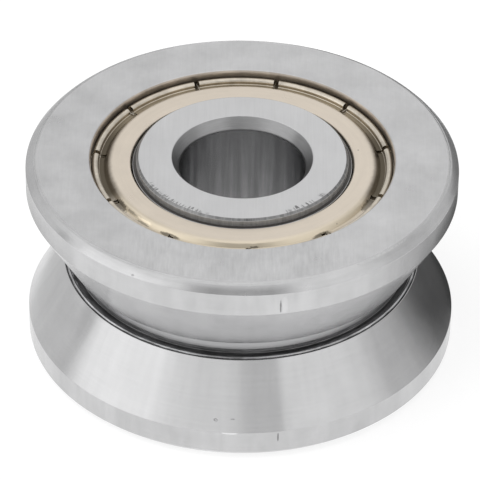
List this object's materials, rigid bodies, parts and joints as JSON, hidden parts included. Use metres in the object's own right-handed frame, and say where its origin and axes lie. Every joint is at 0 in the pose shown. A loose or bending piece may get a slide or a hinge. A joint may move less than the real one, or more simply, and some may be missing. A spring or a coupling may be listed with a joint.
{
  "type": "v groove wheel",
  "caption": "Steel guide wheel with a V groove round its rim, running on its own sealed-in rows of balls about a plain bore with metal shields on both faces.",
  "frame": {"origin": "centre of the wheel, on its axis at mid width", "axes": "+Z along the bore axis; both faces are alike, and the slots seen in the picture are on the +Z face"},
  "size_m": [0.041, 0.041, 0.02],
  "materials": {
    "ground_steel": "ground",
    "shield_sheet": "pressed sheet",
    "cage_nylon": "moulded nylon",
    "ball_steel": "lapped"
  },
  "bodies": {
    "hub": {"inner_ring": "ground_steel"},
    "wheel": {"outer_ring": "ground_steel", "upper_shield": "shield_sheet", "lower_shield": "shield_sheet"},
    "upper_cage": {"upper_cage": "cage_nylon"},
    "upper_ball_1": {"upper_ball_1": "ball_steel"},
    "upper_ball_2": {"upper_ball_2": "ball_steel"},
    "upper_ball_3": {"upper_ball_3": "ball_steel"},
    "upper_ball_4": {"upper_ball_4": "ball_steel"},
    "upper_ball_5": {"upper_ball_5": "ball_steel"},
    "upper_ball_6": {"upper_ball_6": "ball_steel"},
    "upper_ball_7": {"upper_ball_7": "ball_steel"},
    "upper_ball_8": {"upper_ball_8": "ball_steel"},
    "upper_ball_9": {"upper_ball_9": "ball_steel"},
    "lower_cage": {"lower_cage": "cage_nylon"},
    "lower_ball_1": {"lower_ball_1": "ball_steel"},
    "lower_ball_2": {"lower_ball_2": "ball_steel"},
    "lower_ball_3": {"lower_ball_3": "ball_steel"},
    "lower_ball_4": {"lower_ball_4": "ball_steel"},
    "lower_ball_5": {"lower_ball_5": "ball_steel"},
    "lower_ball_6": {"lower_ball_6": "ball_steel"},
    "lower_ball_7": {"lower_ball_7": "ball_steel"},
    "lower_ball_8": {"lower_ball_8": "ball_steel"},
    "lower_ball_9": {"lower_ball_9": "ball_steel"}
  },
  "joints": [
    {"name": "wheel_spin", "type": "hinge", "parent": "hub", "child": "wheel", "pos_m": [0, 0, 0], "axis": [0, 0, 1], "continuous": true},
    {"name": "upper_cage_spin", "type": "hinge", "parent": "hub", "child": "upper_cage", "pos_m": [0, 0, 0.0044], "axis": [0, 0, 1], "continuous": true},
    {"name": "upper_ball_1_roll", "type": "hinge", "parent": "upper_cage", "child": "upper_ball_1", "pos_m": [0.01095, 0.00398, 0.0044], "axis": [0, 0, 1], "continuous": true},
    {"name": "upper_ball_2_roll", "type": "hinge", "parent": "upper_cage", "child": "upper_ball_2", "pos_m": [0.00583, 0.01009, 0.0044], "axis": [0, 0, 1], "continuous": true},
    {"name": "upper_ball_3_roll", "type": "hinge", "parent": "upper_cage", "child": "upper_ball_3", "pos_m": [-0.00202, 0.01147, 0.0044], "axis": [0, 0, 1], "continuous": true},
    {"name": "upper_ball_4_roll", "type": "hinge", "parent": "upper_cage", "child": "upper_ball_4", "pos_m": [-0.00892, 0.00749, 0.0044], "axis": [0, 0, 1], "continuous": true},
    {"name": "upper_ball_5_roll", "type": "hinge", "parent": "upper_cage", "child": "upper_ball_5", "pos_m": [-0.01165, 0, 0.0044], "axis": [0, 0, 1], "continuous": true},
    {"name": "upper_ball_6_roll", "type": "hinge", "parent": "upper_cage", "child": "upper_ball_6", "pos_m": [-0.00892, -0.00749, 0.0044], "axis": [0, 0, 1], "continuous": true},
    {"name": "upper_ball_7_roll", "type": "hinge", "parent": "upper_cage", "child": "upper_ball_7", "pos_m": [-0.00202, -0.01147, 0.0044], "axis": [0, 0, 1], "continuous": true},
    {"name": "upper_ball_8_roll", "type": "hinge", "parent": "upper_cage", "child": "upper_ball_8", "pos_m": [0.00583, -0.01009, 0.0044], "axis": [0, 0, 1], "continuous": true},
    {"name": "upper_ball_9_roll", "type": "hinge", "parent": "upper_cage", "child": "upper_ball_9", "pos_m": [0.01095, -0.00398, 0.0044], "axis": [0, 0, 1], "continuous": true},
    {"name": "lower_cage_spin", "type": "hinge", "parent": "hub", "child": "lower_cage", "pos_m": [0, 0, -0.0044], "axis": [0, 0, 1], "continuous": true},
    {"name": "lower_ball_1_roll", "type": "hinge", "parent": "lower_cage", "child": "lower_ball_1", "pos_m": [0.00892, 0.00749, -0.0044], "axis": [0, 0, 1], "continuous": true},
    {"name": "lower_ball_2_roll", "type": "hinge", "parent": "lower_cage", "child": "lower_ball_2", "pos_m": [0.00202, 0.01147, -0.0044], "axis": [0, 0, 1], "continuous": true},
    {"name": "lower_ball_3_roll", "type": "hinge", "parent": "lower_cage", "child": "lower_ball_3", "pos_m": [-0.00583, 0.01009, -0.0044], "axis": [0, 0, 1], "continuous": true},
    {"name": "lower_ball_4_roll", "type": "hinge", "parent": "lower_cage", "child": "lower_ball_4", "pos_m": [-0.01095, 0.00398, -0.0044], "axis": [0, 0, 1], "continuous": true},
    {"name": "lower_ball_5_roll", "type": "hinge", "parent": "lower_cage", "child": "lower_ball_5", "pos_m": [-0.01095, -0.00398, -0.0044], "axis": [0, 0, 1], "continuous": true},
    {"name": "lower_ball_6_roll", "type": "hinge", "parent": "lower_cage", "child": "lower_ball_6", "pos_m": [-0.00583, -0.01009, -0.0044], "axis": [0, 0, 1], "continuous": true},
    {"name": "lower_ball_7_roll", "type": "hinge", "parent": "lower_cage", "child": "lower_ball_7", "pos_m": [0.00202, -0.01147, -0.0044], "axis": [0, 0, 1], "continuous": true},
    {"name": "lower_ball_8_roll", "type": "hinge", "parent": "lower_cage", "child": "lower_ball_8", "pos_m": [0.00892, -0.00749, -0.0044], "axis": [0, 0, 1], "continuous": true},
    {"name": "lower_ball_9_roll", "type": "hinge", "parent": "lower_cage", "child": "lower_ball_9", "pos_m": [0.01165, 0, -0.0044], "axis": [0, 0, 1], "continuous": true}
  ],
  "couplings": [
    {"joint": "upper_cage_spin", "follows": "wheel_spin", "ratio": 0.60219},
    {"joint": "upper_ball_1_roll", "follows": "wheel_spin", "ratio": 2.3443},
    {"joint": "upper_ball_2_roll", "follows": "wheel_spin", "ratio": 2.3443},
    {"joint": "upper_ball_3_roll", "follows": "wheel_spin", "ratio": 2.3443},
    {"joint": "upper_ball_4_roll", "follows": "wheel_spin", "ratio": 2.3443},
    {"joint": "upper_ball_5_roll", "follows": "wheel_spin", "ratio": 2.3443},
    {"joint": "upper_ball_6_roll", "follows": "wheel_spin", "ratio": 2.3443},
    {"joint": "upper_ball_7_roll", "follows": "wheel_spin", "ratio": 2.3443},
    {"joint": "upper_ball_8_roll", "follows": "wheel_spin", "ratio": 2.3443},
    {"joint": "upper_ball_9_roll", "follows": "wheel_spin", "ratio": 2.3443},
    {"joint": "lower_cage_spin", "follows": "wheel_spin", "ratio": 0.60219},
    {"joint": "lower_ball_1_roll", "follows": "wheel_spin", "ratio": 2.3443},
    {"joint": "lower_ball_2_roll", "follows": "wheel_spin", "ratio": 2.3443},
    {"joint": "lower_ball_3_roll", "follows": "wheel_spin", "ratio": 2.3443},
    {"joint": "lower_ball_4_roll", "follows": "wheel_spin", "ratio": 2.3443},
    {"joint": "lower_ball_5_roll", "follows": "wheel_spin", "ratio": 2.3443},
    {"joint": "lower_ball_6_roll", "follows": "wheel_spin", "ratio": 2.3443},
    {"joint": "lower_ball_7_roll", "follows": "wheel_spin", "ratio": 2.3443},
    {"joint": "lower_ball_8_roll", "follows": "wheel_spin", "ratio": 2.3443},
    {"joint": "lower_ball_9_roll", "follows": "wheel_spin", "ratio": 2.3443}
  ]
}
